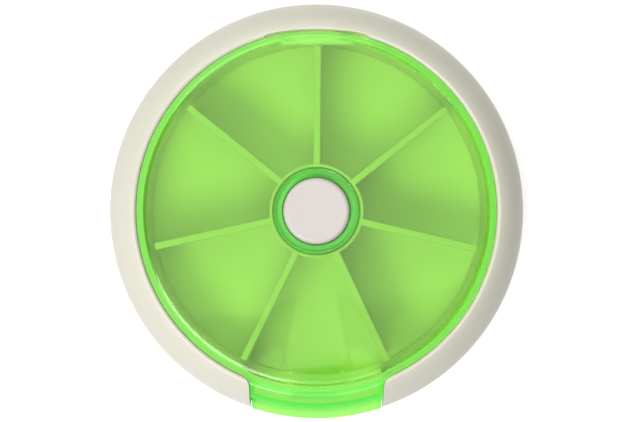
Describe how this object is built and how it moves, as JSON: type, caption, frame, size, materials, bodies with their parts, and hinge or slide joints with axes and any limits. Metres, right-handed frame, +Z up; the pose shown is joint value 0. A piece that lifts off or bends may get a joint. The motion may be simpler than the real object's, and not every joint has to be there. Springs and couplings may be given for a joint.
{
  "type": "round pill organizer",
  "caption": "Round pill organizer with a white case and compartment wheel, a hinged clear green lid and a central push button that indexes the wheel.",
  "frame": {"origin": "middle of the foot, on the surface it stands on", "axes": "+Z up along the wheel's axis; -Y to the front, where the tab is; +Y to the hinge"},
  "size_m": [0.09, 0.09, 0.0219],
  "materials": {
    "shell_white": "satin moulded ivory white",
    "wheel_white": "satin moulded white",
    "button_white": "satin moulded white",
    "lid_green": "clear green, glossy",
    "steel": "plain wire and sheet"
  },
  "bodies": {
    "case": {"base_shell": "shell_white", "bezel_ring": "shell_white", "hinge_pin": "steel", "center_post": "wheel_white", "post_screw": "steel", "return_spring": "steel", "detent_leaf": "steel", "case_screw_1": "steel", "case_screw_2": "steel", "case_screw_3": "steel", "case_screw_4": "steel"},
    "lid_body": {"lid": "lid_green"},
    "wheel_body": {"compartment_wheel": "wheel_white"},
    "button_body": {"button": "button_white"},
    "driver_body": {"index_driver": "wheel_white"}
  },
  "joints": [
    {"name": "lid_hinge", "type": "hinge", "parent": "case", "child": "lid_body", "pos_m": [0, 0.0366, 0.01895], "axis": [-1, 0, 0], "range_deg": [0, 90]},
    {"name": "wheel_spin", "type": "hinge", "parent": "case", "child": "wheel_body", "pos_m": [0, 0, 0.004], "axis": [0, 0, 1], "continuous": true},
    {"name": "button_press", "type": "slide", "parent": "case", "child": "button_body", "axis": [0, 0, -1], "range_m": [0, 0.003], "stiffness_N_per_m": 200, "springref_m": -0.004, "deforming": ["return_spring"]},
    {"name": "driver_turn", "type": "hinge", "parent": "case", "child": "driver_body", "pos_m": [0, 0, 0.01], "axis": [0, 0, 1], "range_deg": [0, 51.5]}
  ],
  "couplings": [
    {"joint": "driver_turn", "follows": "button_press", "rad_per_m": 299.2}
  ]
}
